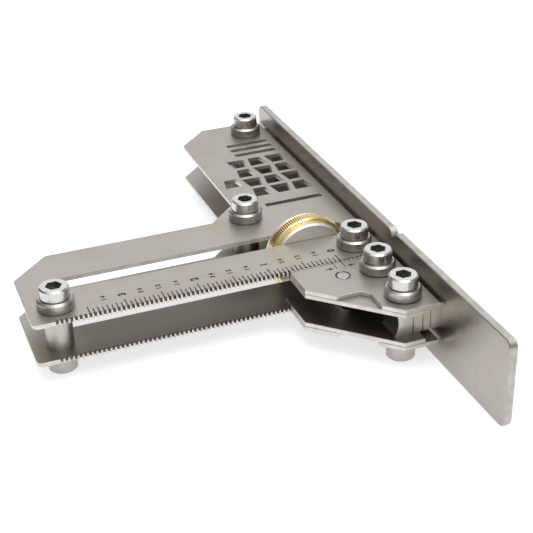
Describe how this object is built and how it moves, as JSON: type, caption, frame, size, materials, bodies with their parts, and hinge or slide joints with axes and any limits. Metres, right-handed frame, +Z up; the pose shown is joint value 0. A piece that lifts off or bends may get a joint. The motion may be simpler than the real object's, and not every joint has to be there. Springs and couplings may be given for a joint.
{
  "type": "indexing spacing jig",
  "caption": "Hand-held indexing jig for spacing joints: toothed inch rule plates, a meshing slider with half the split fence, and a knurled clamp wheel.",
  "frame": {"origin": "centre of the jig's footprint, on the surface it rests on", "axes": "+X from the arm's end to the fence's outer face, +Y along the fence from the slider's half to the frame's half, +Z up through the plates"},
  "size_m": [0.1306, 0.209, 0.0318],
  "materials": {
    "plate_steel": "brushed",
    "fence_steel": "brushed",
    "bar_steel": "machined",
    "bright_fasteners": "polished",
    "bright_collars": "polished",
    "disc_steel": "machined",
    "clamp_steel": "machined",
    "wheel_brass": "knurled and polished"
  },
  "bodies": {
    "frame": {"top_plate": "plate_steel", "bottom_plate": "plate_steel", "frame_fence": "fence_steel", "arm_end_spacer": "bar_steel", "junction_spacer": "bar_steel", "frame_fence_bar_rear": "bar_steel", "frame_fence_bar_front": "bar_steel", "frame_screws": "bright_fasteners", "frame_collars": "bright_collars", "frame_barrel_nuts": "bright_collars", "frame_fence_screws": "bright_fasteners"},
    "clamp_carriage": {"front_thrust_disc": "disc_steel", "rear_thrust_disc": "disc_steel"},
    "wheel": {"clamp_wheel": "wheel_brass"},
    "slider": {"slider_top_plate": "plate_steel", "slider_top_keeper": "plate_steel", "slider_bottom_keeper": "plate_steel", "slider_bottom_plate": "plate_steel", "slider_fence": "fence_steel", "slider_fence_bar_rear": "bar_steel", "slider_fence_bar_front": "bar_steel", "slider_screws": "bright_fasteners", "slider_collars": "bright_collars", "slider_barrel_nuts": "bright_collars", "slider_fence_screws": "bright_fasteners", "clamp_post": "clamp_steel", "clamp_stud": "clamp_steel"}
  },
  "joints": [
    {"name": "index_travel", "type": "slide", "parent": "frame", "child": "clamp_carriage", "axis": [-1, 0, 0], "range_m": [0, 0.0762]},
    {"name": "wheel_spin", "type": "hinge", "parent": "clamp_carriage", "child": "wheel", "pos_m": [0.03955, -0.0026, 0.01588], "axis": [0, 1, 0], "range_deg": [0, 720]},
    {"name": "clamp_release", "type": "slide", "parent": "clamp_carriage", "child": "slider", "axis": [0, -1, 0], "range_m": [0, 0.00254]}
  ],
  "couplings": [
    {"joint": "wheel_spin", "follows": "clamp_release", "rad_per_m": 4947.4}
  ]
}
